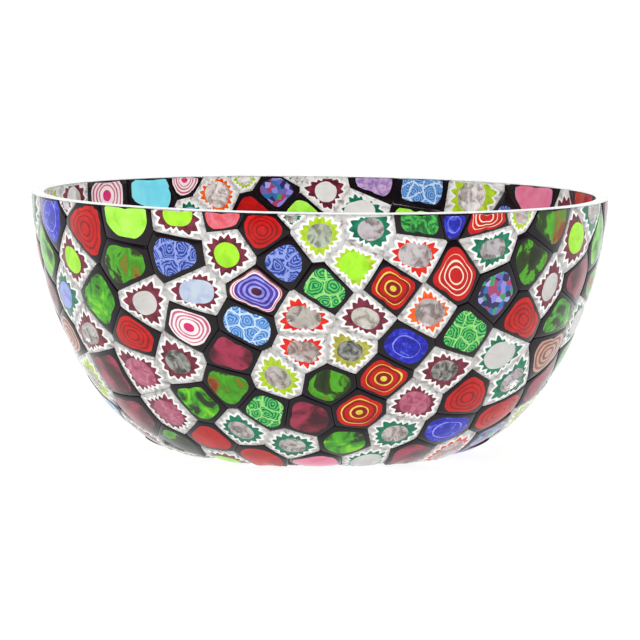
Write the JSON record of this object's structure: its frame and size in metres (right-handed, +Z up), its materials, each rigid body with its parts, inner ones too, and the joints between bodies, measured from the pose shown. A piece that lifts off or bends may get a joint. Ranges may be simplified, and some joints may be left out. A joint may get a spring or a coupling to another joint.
{
  "type": "art glass bowl",
  "caption": "Round deep glass bowl of fused patterned cane slices with a clear rim lip and a flat ground base; holds fruit, sweets or stands as decoration.",
  "frame": {"origin": "middle of the flat base, on the plane that the bowl stands on", "axes": "+Z up through the mouth of the bowl; -Y is the front and +X is the bowl's right as seen from the front"},
  "size_m": [0.2, 0.2, 0.0902],
  "materials": {
    "rim_lip_glass": "clear fire-polished glass, very smooth",
    "lime_glass": "opaque lime green cane in dark amethyst glass, polished",
    "green_glass": "transparent bright green cane in dark amethyst glass, polished",
    "emerald_glass": "streaked emerald cane in dark amethyst glass, polished",
    "forest_glass": "dark green cane with yellow and brown flame in dark amethyst glass, polished",
    "cobalt_glass": "transparent cobalt cane with a fine pale line in dark amethyst glass, polished",
    "lapis_glass": "dark blue lace cane in dark amethyst glass, polished",
    "sky_lace_glass": "light blue lace cane in dark amethyst glass, polished",
    "green_lace_glass": "green and blue lace cane in dark amethyst glass, polished",
    "violet_mosaic_glass": "violet, blue and green fragments in dark amethyst glass, polished",
    "purple_eye_glass": "purple, blue and white rings in dark amethyst glass, polished",
    "pink_ring_glass": "pink and white rings in dark amethyst glass, polished",
    "red_ring_glass": "dark red rings in dark amethyst glass, polished",
    "red_white_ring_glass": "red and white rings in dark amethyst glass, polished",
    "red_yellow_ring_glass": "red and yellow rings in dark amethyst glass, polished",
    "coral_ring_glass": "coral and pink rings in dark amethyst glass, polished",
    "rose_ring_glass": "brown and pink rings in dark amethyst glass, polished",
    "ruby_glass": "transparent ruby cane in dark amethyst glass, polished",
    "red_glass": "opaque red cane in dark amethyst glass, polished",
    "sky_blue_glass": "opaque sky blue cane in dark amethyst glass, polished",
    "pink_glass": "opaque pink cane in dark amethyst glass, polished",
    "lilac_glass": "lilac cane in dark amethyst glass, polished",
    "burgundy_clear_glass": "burgundy star with white outline in clear glass, polished",
    "burgundy_lime_glass": "burgundy star with lime middle in clear glass, polished",
    "burgundy_white_glass": "burgundy star with white middle in clear glass, polished",
    "burgundy_blue_glass": "burgundy star with pale blue middle in clear glass, polished",
    "burgundy_pink_glass": "burgundy star with pink middle in clear glass, polished",
    "burgundy_grey_glass": "burgundy star with grey-green middle in clear glass, polished",
    "teal_clear_glass": "teal star with white outline in clear glass, polished",
    "teal_white_glass": "teal star with white middle in clear glass, polished",
    "teal_blue_glass": "teal star with blue middle in clear glass, polished",
    "lime_clear_glass": "lime star with white outline in clear glass, polished",
    "lime_core_glass": "lime star with lime middle in clear glass, polished",
    "olive_star_glass": "olive star with dark middle in clear glass, polished",
    "red_clear_glass": "red star with pink middle in clear glass, polished",
    "orange_clear_glass": "orange star with clear middle in clear glass, polished"
  },
  "bodies": {
    "root": {"rim_lip": "rim_lip_glass", "lime": "lime_glass", "green": "green_glass", "emerald": "emerald_glass", "forest": "forest_glass", "cobalt": "cobalt_glass", "lapis": "lapis_glass", "sky_lace": "sky_lace_glass", "green_lace": "green_lace_glass", "violet_mosaic": "violet_mosaic_glass", "purple_eye": "purple_eye_glass", "pink_ring": "pink_ring_glass", "red_ring": "red_ring_glass", "red_white_ring": "red_white_ring_glass", "red_yellow_ring": "red_yellow_ring_glass", "coral_ring": "coral_ring_glass", "rose_ring": "rose_ring_glass", "ruby": "ruby_glass", "red": "red_glass", "sky_blue": "sky_blue_glass", "pink": "pink_glass", "lilac": "lilac_glass", "burgundy_clear": "burgundy_clear_glass", "burgundy_lime": "burgundy_lime_glass", "burgundy_white": "burgundy_white_glass", "burgundy_blue": "burgundy_blue_glass", "burgundy_pink": "burgundy_pink_glass", "burgundy_grey": "burgundy_grey_glass", "teal_clear": "teal_clear_glass", "teal_white": "teal_white_glass", "teal_blue": "teal_blue_glass", "lime_clear": "lime_clear_glass", "lime_core": "lime_core_glass", "olive_star": "olive_star_glass", "red_clear": "red_clear_glass", "orange_clear": "orange_clear_glass"}
  },
  "joints": []
}
